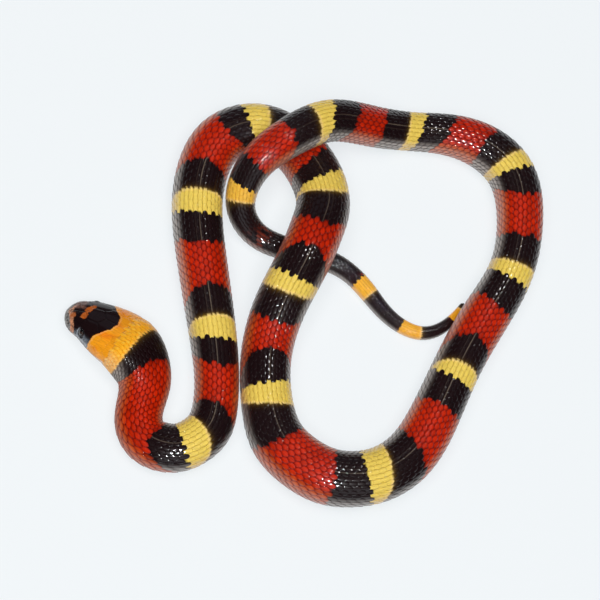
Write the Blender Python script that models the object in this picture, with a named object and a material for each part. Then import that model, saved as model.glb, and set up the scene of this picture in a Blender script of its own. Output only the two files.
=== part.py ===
"""A milk snake lying still on the floor in a loose open coil, life-size.

The body is one tube that follows ROUTE over the floor, from the snout to the tail tip. Its
cross-section is a loaf, a round back over a flat belly. The hind body bridges over the
forebody, and the forebody bridges over the tail. The tube is made in short lengths that
meet face to face. The head is shaped straight, with its mouth, eyes and nostrils, and then
laid on the route. Metres, +Z up, the floor at z = 0.
"""

import math

import bmesh
import bpy
import numpy as np

MM = 0.001

# Middle line seen from above and the body's width there: x, y, width in mm, snout first.
ROUTE = (
    (-89.0, -8.8, 10.4),
    (-80.4, -12.1, 16.6),
    (-73.2, -16.5, 21.8),
    (-66.7, -21.5, 25.2),
    (-62.1, -27.8, 23.8),
    (-59.6, -35.6, 20.0),
    (-60.8, -43.8, 17.8),
    (-61.3, -51.0, 17.8),
    (-58.6, -56.6, 17.8),
    (-53.5, -59.3, 18.2),
    (-47.5, -59.8, 18.0),
    (-41.2, -57.4, 17.8),
    (-35.5, -52.0, 17.5),
    (-32.9, -43.0, 16.8),
    (-34.3, -15.0, 17.8),
    (-38.7, 13.5, 18.8),
    (-40.4, 37.0, 19.3),
    (-38.2, 48.7, 19.6),
    (-32.6, 58.8, 19.8),
    (-18.0, 64.6, 19.8),
    (-4.0, 58.9, 19.8),
    (4.0, 48.6, 20.2),
    (6.6, 33.0, 20.4),
    (4.0, 24.2, 20.5),
    (-0.5, 13.0, 20.2),
    (-9.0, -4.5, 19.8),
    (-13.9, -23.0, 19.1),
    (-13.1, -45.0, 19.5),
    (-9.8, -55.2, 20.5),
    (-1.2, -64.0, 21.0),
    (8.3, -68.8, 21.2),
    (18.5, -69.8, 20.8),
    (29.3, -67.5, 20.6),
    (38.4, -61.8, 20.2),
    (50.5, -43.8, 18.9),
    (59.7, -24.3, 18.2),
    (70.4, -5.4, 18.6),
    (81.0, 13.3, 17.4),
    (84.9, 34.1, 17.8),
    (81.1, 52.9, 18.4),
    (67.0, 64.2, 17.2),
    (47.2, 67.4, 15.1),
    (27.6, 66.9, 15.5),
    (7.5, 65.3, 15.9),
    (-8.0, 57.0, 15.2),
    (-21.5, 45.0, 12.8),
    (-24.3, 33.0, 10.8),
    (-20.0, 25.7, 9.8),
    (-10.0, 20.2, 9.2),
    (1.5, 17.2, 8.7),
    (12.0, 14.3, 8.0),
    (18.2, 10.8, 7.4),
    (25.1, 4.1, 7.0),
    (29.6, -1.4, 6.4),
    (39.0, -9.4, 5.5),
    (48.0, -11.6, 5.1),
    (57.5, -6.8, 4.0),
    (63.5, 1.0, 1.8),
)
# Where the middle of the whole outline lies in those numbers, in mm.
MIDDLE_X = 2.06
MIDDLE_Y = -2.65

# Height of the body as a share of its width, against the share of the length from the snout.
HEIGHT_SHARE = ((0.03, 0.58), (0.07, 0.74), (0.12, 0.83), (0.80, 0.85), (0.88, 0.90), (1.0, 0.95))

# Bridges over other stretches: distance of the middle from the snout, height of the belly
# there, and the runs before and after it, in mm.
BRIDGE_OVER_TAIL = (285.0, 8.6, 42.0, 42.0)
BRIDGE_OVER_FOREBODY = (638.0, 17.6, 60.0, 47.0)

# Cross-section: share of the height at the widest place, and how the sides are rounded.
WIDEST = 0.44
BELLY_DEPTH = 0.49
SIDE_ROUND = 0.90
BELLY_ROUND = 0.80
HEAD_ROUND = 0.82

# Lengths of the animal along the route, in mm.
HEAD_LENGTH = 26.0
NECK_END = 46.0
VENT = 655.0
TRUNK_LENGTHS = 22
TAIL_LENGTHS = 5
GAP = 0.3
RING_SPACING = 3.9
SIDES = 24

# The head lies on its right cheek, so that its left side is turned up.
HEAD_ROLL = math.radians(22.0)
ROLL_END = 62.0

# Head, made straight: distance from the snout, half width and height of the crown, in mm.
HEAD_PLAN = ((0.0, 5.0, 6.0), (4.0, 6.8, 7.6), (9.3, 8.7, 9.6), (14.0, 10.4, 11.0), (20.0, 12.0, 12.4))
SNOUT_ROUND = 4.2
SNOUT_HEIGHT = 3.6
HEAD_SIDES = 40
HEAD_RING_SPACING = 0.9

# Mouth line along the side of the head: distance from the snout and height, in mm.
MOUTH_LINE = ((-2.0, 2.3), (2.0, 2.3), (6.0, 2.9), (11.0, 3.1), (16.0, 3.5), (20.5, 4.8), (23.5, 5.6))
MOUTH_CORNER = 22.0
JAW_SETBACK = 0.9

EYE_FROM_SNOUT = 9.3
EYE_HEIGHT = 6.1
EYE_RADIUS = 1.75
EYE_INSET = 1.45
NOSTRIL_FROM_SNOUT = 2.3
NOSTRIL_HEIGHT = 4.9
NOSTRIL_RADIUS = 0.55

# Colour, roughness and metallic value of each skin.
BLACK_SKIN = ((0.012, 0.010, 0.012), 0.35, 0.0)
PALE_SKIN = ((0.55, 0.50, 0.45), 0.40, 0.0)
ORANGE_SKIN = ((0.80, 0.28, 0.02), 0.40, 0.0)
RED_SKIN = ((0.42, 0.03, 0.01), 0.40, 0.0)
EYE_SURFACE = ((0.010, 0.006, 0.005), 0.08, 0.0)


def clear_scene():
    """Remove whatever the file holds."""
    for item in list(bpy.data.objects):
        bpy.data.objects.remove(item, do_unlink=True)


def curve_through(knots, values):
    """Return a function for the natural cubic curve through values at the given knots."""
    knots = np.asarray(knots, float)
    values = np.asarray(values, float).reshape(len(knots), -1)
    step = np.diff(knots)
    rise = np.diff(values, axis=0) / step[:, None]
    matrix = np.eye(len(knots))
    right = np.zeros_like(values)
    for i in range(1, len(knots) - 1):
        matrix[i, i - 1] = step[i - 1]
        matrix[i, i] = 2.0 * (step[i - 1] + step[i])
        matrix[i, i + 1] = step[i]
        right[i] = 6.0 * (rise[i] - rise[i - 1])
    bend = np.linalg.solve(matrix, right)

    def at(where):
        where = np.atleast_1d(np.asarray(where, float))
        i = np.clip(np.searchsorted(knots, where) - 1, 0, len(step) - 1)
        h = step[i][:, None]
        left = (knots[i + 1] - where)[:, None] / h
        onward = 1.0 - left
        cubic = (left ** 3 - left) * bend[i] + (onward ** 3 - onward) * bend[i + 1]
        return left * values[i] + onward * values[i + 1] + cubic * h * h / 6.0

    return at


def between(table, where, column=1):
    """Interpolate one column of a short table at the given distances."""
    return np.interp(where, [row[0] for row in table], [row[column] for row in table])


def trace_route():
    """Sample the route finely: distance along it, place and width, in mm."""
    rows = np.array(ROUTE)
    chord = np.r_[0.0, np.cumsum(np.hypot(*np.diff(rows[:, :2], axis=0).T))]
    fine = np.linspace(0.0, chord[-1], 6000)
    line = curve_through(chord, rows)(fine)
    line[:, 0] -= MIDDLE_X
    line[:, 1] -= MIDDLE_Y
    along = np.r_[0.0, np.cumsum(np.hypot(*np.diff(line[:, :2], axis=0).T))]
    return along, line


ALONG, LINE = trace_route()
LENGTH = ALONG[-1]


def bridge(where, middle, height, before, after):
    """Height of the belly at the given distances on one bridge, a smooth hump."""
    offset = where - middle
    share = np.where(offset < 0.0, -offset / before, offset / after)
    return 0.5 * height * (1.0 + np.cos(math.pi * np.minimum(share, 1.0)))


def belly_height(where):
    """Height of the belly above the floor along the route, in mm."""
    return bridge(where, *BRIDGE_OVER_TAIL) + bridge(where, *BRIDGE_OVER_FOREBODY)


def route_frame(where):
    """Place of the belly line and the across and up directions at the given distances."""
    where = np.atleast_1d(np.asarray(where, float))

    def spot(distance):
        inside = np.clip(distance, 0.0, LENGTH)
        x = np.interp(inside, ALONG, LINE[:, 0])
        y = np.interp(inside, ALONG, LINE[:, 1])
        return np.stack([x, y, belly_height(inside)], axis=1)

    middle = np.clip(where, 0.5, LENGTH - 0.5)
    ahead = spot(middle + 0.5) - spot(middle - 0.5)
    ahead /= np.linalg.norm(ahead, axis=1)[:, None]
    across = np.stack([-ahead[:, 1], ahead[:, 0], np.zeros(len(where))], axis=1)
    across /= np.linalg.norm(across, axis=1)[:, None]
    up = np.cross(ahead, across)
    return spot(where), across, up, ahead


def loaf(turn, half_width, height, roundness=SIDE_ROUND):
    """Point of a loaf-shaped section at an angle from the middle of the belly."""
    side = np.sin(turn)
    rise = -np.cos(turn)
    y = half_width * np.sign(side) * np.abs(side) ** roundness
    back = WIDEST + (1.0 - WIDEST) * np.abs(rise) ** roundness
    belly = WIDEST - BELLY_DEPTH * np.abs(rise) ** BELLY_ROUND
    z = height * np.where(rise > 0.0, back, np.maximum(belly, 0.0))
    return y, z


def body_size(where):
    """Half width and height of the body at the given distances, in mm."""
    width = np.interp(where, ALONG, LINE[:, 2])
    return 0.5 * width, width * between(HEIGHT_SHARE, np.asarray(where) / LENGTH)


def roll_at(where):
    """How far the section is turned about the route, fading behind the head."""
    share = np.clip((np.asarray(where, float) - HEAD_LENGTH) / (ROLL_END - HEAD_LENGTH), 0.0, 1.0)
    return HEAD_ROLL * 0.5 * (1.0 + np.cos(math.pi * share))


def lay_on_route(points):
    """Carry points of the straight animal, (distance, across, height), to the real pose."""
    where, across, height = np.asarray(points, float).T
    behind = np.maximum(where, HEAD_LENGTH)
    half_width, body_height = body_size(behind)
    roll = roll_at(behind)
    turn = np.linspace(0.0, 2.0 * math.pi, 49)[None, :]
    y, z = loaf(turn, half_width[:, None], body_height[:, None])
    pivot = WIDEST * body_height
    rolled = (z - pivot[:, None]) * np.cos(roll)[:, None] - y * np.sin(roll)[:, None]
    rest = -rolled.min(axis=1)
    new_across = across * np.cos(roll) + (height - pivot) * np.sin(roll)
    new_height = (height - pivot) * np.cos(roll) - across * np.sin(roll) + rest
    place, left, up, ahead = route_frame(where)
    beyond = (where - np.clip(where, 0.0, LENGTH))[:, None]
    laid = place + beyond * ahead + new_across[:, None] * left + new_height[:, None] * up
    laid[:, 2] = np.maximum(laid[:, 2], 0.0)
    return laid * MM


def mesh_object(name, points, faces, skin):
    """Make a mesh object with its material, its faces turned outward."""
    mesh = bpy.data.meshes.new(name)
    mesh.from_pydata([tuple(point) for point in points], [], faces)
    work = bmesh.new()
    work.from_mesh(mesh)
    bmesh.ops.recalc_face_normals(work, faces=work.faces)
    work.to_mesh(mesh)
    work.free()
    thing = bpy.data.objects.new(name, mesh)
    bpy.context.scene.collection.objects.link(thing)
    if skin is not None:
        thing.data.materials.append(skin)
    return thing


def loft_faces(rings, sides):
    """Faces of a closed tube: the sides between rings and a flat cap on each end."""
    faces = []
    for ring in range(rings - 1):
        for side in range(sides):
            near = ring * sides
            far = near + sides
            after = (side + 1) % sides
            faces.append((near + side, near + after, far + after, far + side))
    faces.append(tuple(range(sides))[::-1])
    faces.append(tuple(range((rings - 1) * sides, rings * sides)))
    return faces


def skin_material(name, look):
    """Make a Principled material from a colour, roughness and metallic value."""
    colour, roughness, metallic = look
    material = bpy.data.materials.new(name)
    material.use_nodes = True
    shader = material.node_tree.nodes["Principled BSDF"]
    shader.inputs["Base Color"].default_value = (*colour, 1.0)
    shader.inputs["Roughness"].default_value = roughness
    shader.inputs["Metallic"].default_value = metallic
    material.diffuse_color = (*colour, 1.0)
    return material


def shade_smooth(thing):
    """Shade a round piece smoothly except over its sharp rims."""
    work = bmesh.new()
    work.from_mesh(thing.data)
    for face in work.faces:
        face.smooth = True
    for edge in work.edges:
        if len(edge.link_faces) == 2 and edge.calc_face_angle(0.0) > math.radians(50.0):
            edge.smooth = False
    work.to_mesh(thing.data)
    work.free()


def body_length(name, start, end, skin):
    """One length of the body between two distances along the route."""
    rings = max(3, int(round((end - start) / RING_SPACING)) + 1)
    stations = np.linspace(start, end, rings)
    turn = np.linspace(0.0, 2.0 * math.pi, SIDES, endpoint=False)
    points = []
    for station in stations:
        half_width, height = body_size(station)
        y, z = loaf(turn, half_width, height)
        points += [(station, across, rise) for across, rise in zip(y, z)]
    thing = mesh_object(name, lay_on_route(points), loft_faces(rings, SIDES), skin)
    shade_smooth(thing)
    return thing


def tail_tip(name, start, skin):
    """The last length, closed by a rounded spine at the end of the tail."""
    straight = LENGTH - 1.2
    stations = np.r_[np.arange(start, straight, 2.6), LENGTH - 0.9, LENGTH - 0.4, LENGTH - 0.1]
    turn = np.linspace(0.0, 2.0 * math.pi, SIDES, endpoint=False)
    points = []
    for station in stations:
        half_width, height = body_size(station)
        close = math.sqrt(max(0.02, 1.0 - max(0.0, (station - straight) / 1.2) ** 2))
        y, z = loaf(turn, half_width * close, height * close)
        z = z + 0.5 * height * (1.0 - close)
        points += [(station, across, rise) for across, rise in zip(y, z)]
    thing = mesh_object(name, lay_on_route(points), loft_faces(len(stations), SIDES), skin)
    shade_smooth(thing)
    return thing


def head_size(where):
    """Half width, crown height and chin height of the straight head at a distance."""
    end_width, end_height = body_size(HEAD_LENGTH)
    plan = HEAD_PLAN + ((HEAD_LENGTH, end_width, end_height),)
    knots = [row[0] for row in plan]
    half_width, crown = curve_through(knots, [row[1:] for row in plan])(where)[0]
    blunt = 1.0 - min(where, SNOUT_ROUND) / SNOUT_ROUND
    close = math.sqrt(max(0.0, 1.0 - blunt ** 2))
    return half_width * close, SNOUT_HEIGHT + (crown - SNOUT_HEIGHT) * close, SNOUT_HEIGHT * (1.0 - close)


def head_round(where):
    """How boxy the head's section is, easing to the body's at the back of the head."""
    return float(np.interp(where, (20.0, HEAD_LENGTH), (HEAD_ROUND, SIDE_ROUND)))


def straight_head(name, skin, end, setback=0.0):
    """The whole head as a closed loft along a straight line, in mm."""
    rear = np.arange(SNOUT_ROUND, end, HEAD_RING_SPACING)
    front = SNOUT_ROUND * (1.0 - np.cos(np.linspace(0.08, 0.5 * math.pi, 9)[:-1]))
    stations = np.r_[front, rear[:-1], end]
    turn = np.linspace(0.0, 2.0 * math.pi, HEAD_SIDES, endpoint=False)
    points = []
    for station in stations:
        half_width, crown, chin = head_size(station)
        y, z = loaf(turn, half_width, crown - chin, head_round(station))
        points += [(station + setback, across, chin + rise) for across, rise in zip(y, z)]
    return mesh_object(name, points, loft_faces(len(stations), HEAD_SIDES), skin)


def ball(name, centre, radius, skin, rows=12, columns=20):
    """A closed ball in the straight head's own mm."""
    work = bmesh.new()
    bmesh.ops.create_uvsphere(work, u_segments=columns, v_segments=rows, radius=radius)
    bmesh.ops.translate(work, verts=work.verts, vec=centre)
    mesh = bpy.data.meshes.new(name)
    work.to_mesh(mesh)
    work.free()
    thing = bpy.data.objects.new(name, mesh)
    bpy.context.scene.collection.objects.link(thing)
    if skin is not None:
        thing.data.materials.append(skin)
    return thing


def jaw_block(name, half_gap):
    """Everything below the mouth line as far as the mouth's corner, grown by half_gap."""
    reach = MOUTH_CORNER + half_gap
    knots = [row[0] for row in MOUTH_LINE]
    rise = curve_through(knots, [row[1] for row in MOUTH_LINE])
    stations = np.linspace(-2.0, reach, 24)
    outline = [(where, float(rise(where)[0, 0]) + half_gap) for where in stations]
    outline += [(reach, -6.0), (-2.0, -6.0)]
    count = len(outline)
    points = [(where, -30.0, height) for where, height in outline]
    points += [(where, 30.0, height) for where, height in outline]
    faces = [tuple(range(count)), tuple(range(count, 2 * count))[::-1]]
    for i in range(count):
        after = (i + 1) % count
        faces.append((i, after, count + after, count + i))
    return mesh_object(name, points, faces, None)


def carve(thing, cutter, operation):
    """Apply one Boolean and drop its cutter."""
    cutter.hide_render = True
    cutter.display_type = "WIRE"
    change = thing.modifiers.new("cut", "BOOLEAN")
    change.operation = operation
    change.solver = "EXACT"
    change.object = cutter
    bpy.context.view_layer.update()
    depsgraph = bpy.context.evaluated_depsgraph_get()
    shaped = bpy.data.meshes.new_from_object(thing.evaluated_get(depsgraph))
    thing.modifiers.clear()
    thing.data = shaped
    bpy.data.objects.remove(cutter, do_unlink=True)


def lay_object(thing):
    """Move a straight-made object to its place on the route."""
    mesh = thing.data
    flat = np.empty(3 * len(mesh.vertices))
    mesh.vertices.foreach_get("co", flat)
    mesh.vertices.foreach_set("co", lay_on_route(flat.reshape(-1, 3)).ravel())
    work = bmesh.new()
    work.from_mesh(mesh)
    bmesh.ops.remove_doubles(work, verts=work.verts, dist=1e-6)
    bmesh.ops.recalc_face_normals(work, faces=work.faces)
    work.to_mesh(mesh)
    work.free()
    shade_smooth(thing)


def side_of_head(where, height):
    """Half width of the straight head's surface at a distance and a height."""
    half_width, crown, chin = head_size(where)
    turn = np.linspace(0.5 * math.pi, math.pi, 200)
    y, z = loaf(turn, half_width, crown - chin, head_round(where))
    return float(np.interp(height, z + chin, y))


def build_head():
    """The upper head, the lower jaw and the two eyes."""
    black = skin_material("head_skin", BLACK_SKIN)
    pale = skin_material("jaw_skin", PALE_SKIN)
    eye_look = skin_material("eye_surface", EYE_SURFACE)
    end = HEAD_LENGTH - 0.5 * GAP
    head = straight_head("head", black, end)
    carve(head, jaw_block("mouth_cutter", 0.5 * GAP), "DIFFERENCE")
    jaw = straight_head("lower_jaw", pale, end, JAW_SETBACK)
    carve(jaw, jaw_block("jaw_limit", -0.5 * GAP), "INTERSECT")
    eye_across = side_of_head(EYE_FROM_SNOUT, EYE_HEIGHT) - EYE_INSET
    nostril_across = side_of_head(NOSTRIL_FROM_SNOUT, NOSTRIL_HEIGHT)
    for side, sign in (("left", -1.0), ("right", 1.0)):
        centre = (EYE_FROM_SNOUT, sign * eye_across, EYE_HEIGHT)
        carve(head, ball("socket_cutter", centre, EYE_RADIUS + GAP, None), "DIFFERENCE")
        pit = (NOSTRIL_FROM_SNOUT, sign * nostril_across, NOSTRIL_HEIGHT)
        carve(head, ball("nostril_cutter", pit, NOSTRIL_RADIUS, None, 8, 10), "DIFFERENCE")
        lay_object(ball("eye_" + side, centre, EYE_RADIUS, eye_look))
    lay_object(head)
    lay_object(jaw)


def build_body():
    """The neck, the trunk lengths and the tail lengths."""
    orange = skin_material("neck_skin", ORANGE_SKIN)
    red = skin_material("trunk_skin", RED_SKIN)
    dark = skin_material("tail_skin", BLACK_SKIN)
    half = 0.5 * GAP
    body_length("neck", HEAD_LENGTH + half, NECK_END - half, orange)
    cuts = np.linspace(NECK_END, VENT, TRUNK_LENGTHS + 1)
    for i in range(TRUNK_LENGTHS):
        body_length(f"trunk_{i + 1:02d}", cuts[i] + half, cuts[i + 1] - half, red)
    cuts = np.linspace(VENT, LENGTH, TAIL_LENGTHS + 1)
    for i in range(TAIL_LENGTHS - 1):
        body_length(f"tail_{i + 1}", cuts[i] + half, cuts[i + 1] - half, dark)
    tail_tip("tail_tip", cuts[TAIL_LENGTHS - 1] + half, dark)


def main():
    """Build the whole animal."""
    clear_scene()
    build_head()
    build_body()


main()
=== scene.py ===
"""The looks of a milk snake lying still in a loose open coil, life-size, in metres.

The animal is worked out straight first: a distance from the snout, a share of the way round
the section from the middle of the back, and a lift off the surface. That chart is then laid on
the route over the floor. The skin with its head shields, the scales, the belly plates and the
eyes are all grids of numbers on the chart.
"""
import math

import bpy
import numpy as np
from mathutils import Matrix, Vector


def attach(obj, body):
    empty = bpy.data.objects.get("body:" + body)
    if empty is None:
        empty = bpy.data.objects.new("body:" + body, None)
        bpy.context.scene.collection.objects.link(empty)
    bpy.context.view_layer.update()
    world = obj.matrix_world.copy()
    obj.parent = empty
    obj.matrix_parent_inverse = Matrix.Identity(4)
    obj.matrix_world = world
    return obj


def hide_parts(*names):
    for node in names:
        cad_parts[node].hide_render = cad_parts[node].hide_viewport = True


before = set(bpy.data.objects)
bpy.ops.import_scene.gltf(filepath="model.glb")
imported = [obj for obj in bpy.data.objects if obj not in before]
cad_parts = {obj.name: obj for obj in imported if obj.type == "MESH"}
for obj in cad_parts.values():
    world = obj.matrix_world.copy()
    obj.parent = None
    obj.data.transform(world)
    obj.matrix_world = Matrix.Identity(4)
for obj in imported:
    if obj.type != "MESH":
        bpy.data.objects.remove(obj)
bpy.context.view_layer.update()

MM = 0.001

# Middle line seen from above and the body's width there: x, y, width in mm, snout first.
ROUTE = (
    (-89.0, -8.8, 10.4), (-80.4, -12.1, 16.6), (-73.2, -16.5, 21.8), (-66.7, -21.5, 25.2),
    (-62.1, -27.8, 23.8), (-59.6, -35.6, 20.0), (-60.8, -43.8, 17.8), (-61.3, -51.0, 17.8),
    (-58.6, -56.6, 17.8), (-53.5, -59.3, 18.2), (-47.5, -59.8, 18.0), (-41.2, -57.4, 17.8),
    (-35.5, -52.0, 17.5), (-32.9, -43.0, 16.8), (-34.3, -15.0, 17.8), (-38.7, 13.5, 18.8),
    (-40.4, 37.0, 19.3), (-38.2, 48.7, 19.6), (-32.6, 58.8, 19.8), (-18.0, 64.6, 19.8),
    (-4.0, 58.9, 19.8), (4.0, 48.6, 20.2), (6.6, 33.0, 20.4), (4.0, 24.2, 20.5),
    (-0.5, 13.0, 20.2), (-9.0, -4.5, 19.8), (-13.9, -23.0, 19.1), (-13.1, -45.0, 19.5),
    (-9.8, -55.2, 20.5), (-1.2, -64.0, 21.0), (8.3, -68.8, 21.2), (18.5, -69.8, 20.8),
    (29.3, -67.5, 20.6), (38.4, -61.8, 20.2), (50.5, -43.8, 18.9), (59.7, -24.3, 18.2),
    (70.4, -5.4, 18.6), (81.0, 13.3, 17.4), (84.9, 34.1, 17.8), (81.1, 52.9, 18.4),
    (67.0, 64.2, 17.2), (47.2, 67.4, 15.1), (27.6, 66.9, 15.5), (7.5, 65.3, 15.9),
    (-8.0, 57.0, 15.2), (-21.5, 45.0, 12.8), (-24.3, 33.0, 10.8), (-20.0, 25.7, 9.8),
    (-10.0, 20.2, 9.2), (1.5, 17.2, 8.7), (12.0, 14.3, 8.0), (18.2, 10.8, 7.4),
    (25.1, 4.1, 7.0), (29.6, -1.4, 6.4), (39.0, -9.4, 5.5), (48.0, -11.6, 5.1),
    (57.5, -6.8, 4.0), (63.5, 1.0, 1.8),
)
MIDDLE_X = 2.06
MIDDLE_Y = -2.65
HEIGHT_SHARE = ((0.03, 0.58), (0.07, 0.74), (0.12, 0.83), (0.80, 0.85), (0.88, 0.90), (1.0, 0.95))
BRIDGES = ((285.0, 8.6, 42.0, 42.0), (638.0, 17.6, 60.0, 47.0))
WIDEST = 0.44
BELLY_DEPTH = 0.49
SIDE_ROUND = 0.90
BELLY_ROUND = 0.80
HEAD_ROUND = 0.82
HEAD_LENGTH = 26.0
HEAD_ROLL = math.radians(22.0)
ROLL_END = 62.0
HEAD_PLAN = ((0.0, 5.0, 6.0), (4.0, 6.8, 7.6), (9.3, 8.7, 9.6), (14.0, 10.4, 11.0), (20.0, 12.0, 12.4))
SNOUT_ROUND = 4.2
SNOUT_HEIGHT = 3.6
TIP_ROUND = 1.2

# Rings from the head to the tail, by distance along the back in mm: black starts, light starts,
# light ends, black ends, share of orange in the light colour, how far the front and rear edges
# lean back at SIDE_MARK on the right side, and how far the two black edges bend back there.
RINGS = (
    (-9.0, 18.2, 28.2, 36.9, 1.0, 0.0, 0.0, 0.0, 0.0),
    (65.0, 77.5, 87.7, 99.0, 0.0, -0.4, 2.2, 3.2, -1.5),
    (113.7, 123.9, 132.6, 144.6, 0.0, 1.3, 0.3, 1.3, -3.0),
    (160.8, 172.1, 181.1, 192.4, 0.0, 0.8, 0.1, 0.5, -2.4),
    (207.0, 216.4, 224.2, 235.5, 0.0, -1.1, -1.0, 2.2, -1.5),
    (246.8, 257.8, 265.3, 276.5, 0.0, -3.0, -1.3, 0.2, -1.5),
    (284.0, 294.0, 299.3, 309.6, 0.0, -0.4, -0.9, 3.2, -0.6),
    (322.8, 337.3, 345.5, 359.3, 0.0, -0.8, 1.2, 4.0, -0.3),
    (382.8, 395.1, 404.7, 418.0, 0.0, -0.5, 2.6, -0.4, -1.0),
    (436.6, 448.3, 455.1, 466.8, 0.0, 0.6, -0.7, -0.6, -3.5),
    (482.3, 494.5, 500.8, 512.1, 0.0, 0.2, -0.3, -0.2, 0.0),
    (528.8, 538.9, 544.8, 554.7, 0.0, 1.2, 1.1, 1.2, -0.5),
    (569.3, 580.6, 588.4, 600.2, 0.0, 2.7, 1.7, 0.8, -0.8),
    (612.6, 621.5, 627.2, 636.2, 0.0, 2.6, 0.8, 0.3, 1.0),
    (649.5, 657.4, 662.6, 722.0, 0.55, 0.3, -0.2, 0.2, 0.0),
    (722.0, 722.0, 729.3, 745.6, 0.75, 0.0, 0.0, 0.0, 0.0),
    (745.6, 745.6, 753.8, 767.5, 0.85, 0.0, 0.0, 0.0, 0.0),
    (767.5, 767.5, 773.4, 780.0, 1.0, 0.0, 0.0, 0.0, 0.0),
)
SIDE_MARK = 0.14
# How much of a ring's edge runs straight across the scales; the rest follows whole scales.
EDGE_SHARE = 0.4
# How far the collar's rear edges lean back, by share of the way round, and where that ends.
NAPE_LEAN = (
    (-0.25, 5.7), (-0.215, 5.2), (-0.125, 2.2), (-0.06, 0.7), (0.02, -0.3), (0.095, -0.3), (0.16, 0.6),
    (0.25, 3.0),
)
NAPE_LEAN_END = 58.0
# The black cap's rear edge: share of the way round to either side, and distance from the snout.
CAP_EDGE = (
    (0.0, 19.3), (0.02, 19.1), (0.06, 18.2), (0.105, 16.3), (0.15, 14.7), (0.21, 14.3), (0.28, 14.8),
    (0.5, 17.0),
)
# The pale band round the snout, its middle line in the same terms.
SNOUT_BAND = ((0.0, 1.5), (0.06, 1.9), (0.14, 3.4), (0.20, 4.3), (0.26, 5.2))
# Where the small scales start behind the head's shields, in the same terms.
SCALES_FROM = ((0.0, 22.8), (0.12, 23.6), (0.20, 24.6), (0.26, 25.4), (0.5, 25.8))
# A speckled patch in the black near the tail.
MOTTLE_AT = 679.0
MOTTLE_REACH = 3.6

# Scale sizes by distance from the snout, in mm: distance, length of a row, width of a row.
SCALE_SIZES = (
    (0.0, 1.9, 1.45), (20.0, 2.0, 1.5), (35.0, 2.3, 1.55), (60.0, 2.7, 1.65), (90.0, 2.85, 1.78),
    (560.0, 2.85, 1.78), (640.0, 2.6, 1.6), (700.0, 2.1, 1.25), (740.0, 1.7, 1.0), (777.0, 1.3, 0.8),
)
FULL_ROW = 2.85
SCALE_HALF = 0.64
SCALE_TILT = 0.21
SCALE_DOME = 0.18
SCALE_ARCH = 0.045
SCALE_THICK = 0.18
SCALE_LIFT = 0.10
SCALES_PER_PIECE = 1500
FIRST_SCALE = 17.0
ROWS_ASIDE = 22
BELLY_SHARE = 0.335
BELLY_FROM = 25.5
BELLY_THICK = 0.22
SKIN_DEPTH = 0.30
SHARES_ROUND = 240
BODY_OUTLINE = 54.0

# Skin grid: points round the head and round the body, and the distance where they meet.
HEAD_COLUMNS = 320
BODY_COLUMNS = 64
FINE_END = 27.5

# Head: mouth, eyes and nostrils, in mm of the straight head.
MOUTH_LINE = ((-2.0, 2.3), (2.0, 2.3), (6.0, 2.9), (11.0, 3.1), (16.0, 3.5), (20.5, 4.8), (23.5, 5.6))
MOUTH_CORNER = 22.0
JAW_SETBACK = 0.9
EYE_FROM_SNOUT = 9.3
EYE_HEIGHT = 6.1
EYE_RADIUS = 1.75
EYE_INSET = 1.55
NOSTRIL_FROM_SNOUT = 2.3
NOSTRIL_HEIGHT = 4.9
NOSTRIL_RADIUS = 0.55
# Shields of one side of the head: a name, and points in it as distance and share. The other
# side mirrors them, and those named "middle" are one shield across both sides.
SHIELDS = (
    ("middle_rostral", ((0.3, 0.0), (0.3, 0.2))), ("middle_frontal", ((9.4, 0.0), (12.0, 0.0))),
    ("middle_mental", ((0.6, 0.42), (0.6, 0.5))), ("internasal", ((3.0, 0.055),)),
    ("prefrontal", ((6.1, 0.055), (6.4, 0.095))), ("nasal", ((2.8, 0.165),)),
    ("supraocular", ((8.6, 0.125), (10.4, 0.13), (12.2, 0.125))),
    ("parietal", ((16.0, 0.045), (19.0, 0.05), (21.2, 0.05), (17.2, 0.09))),
    ("loreal", ((5.2, 0.17),)), ("preocular", ((7.0, 0.175),)), ("postocular_upper", ((12.8, 0.172),)),
    ("postocular_lower", ((12.4, 0.208),)),
)
# Rows of shields with one point each, numbered from the first.
SHIELD_ROWS = (
    ("temporal", (
        (15.6, 0.150), (15.4, 0.198), (19.4, 0.125), (19.2, 0.168), (19.0, 0.210), (22.8, 0.105),
        (22.8, 0.155), (22.8, 0.203),
    )),
    ("lip", (
        (1.7, 0.225), (3.7, 0.225), (5.8, 0.235), (8.2, 0.243), (10.9, 0.243), (14.0, 0.247), (17.4, 0.250),
        (21.2, 0.245),
    )),
    ("low", (
        (1.8, 0.36), (3.8, 0.335), (6.2, 0.330), (8.8, 0.325), (11.6, 0.325), (14.6, 0.325), (17.8, 0.320),
        (21.2, 0.310), (24.4, 0.290),
    )),
    ("chin", ((4.4, 0.43), (8.8, 0.44))),
    ("gular", (
        (12.4, 0.39), (12.6, 0.46), (15.4, 0.375), (15.6, 0.44), (18.4, 0.375), (18.6, 0.44), (21.4, 0.375),
        (21.6, 0.44), (24.2, 0.375), (24.4, 0.44),
    )),
)

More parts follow.
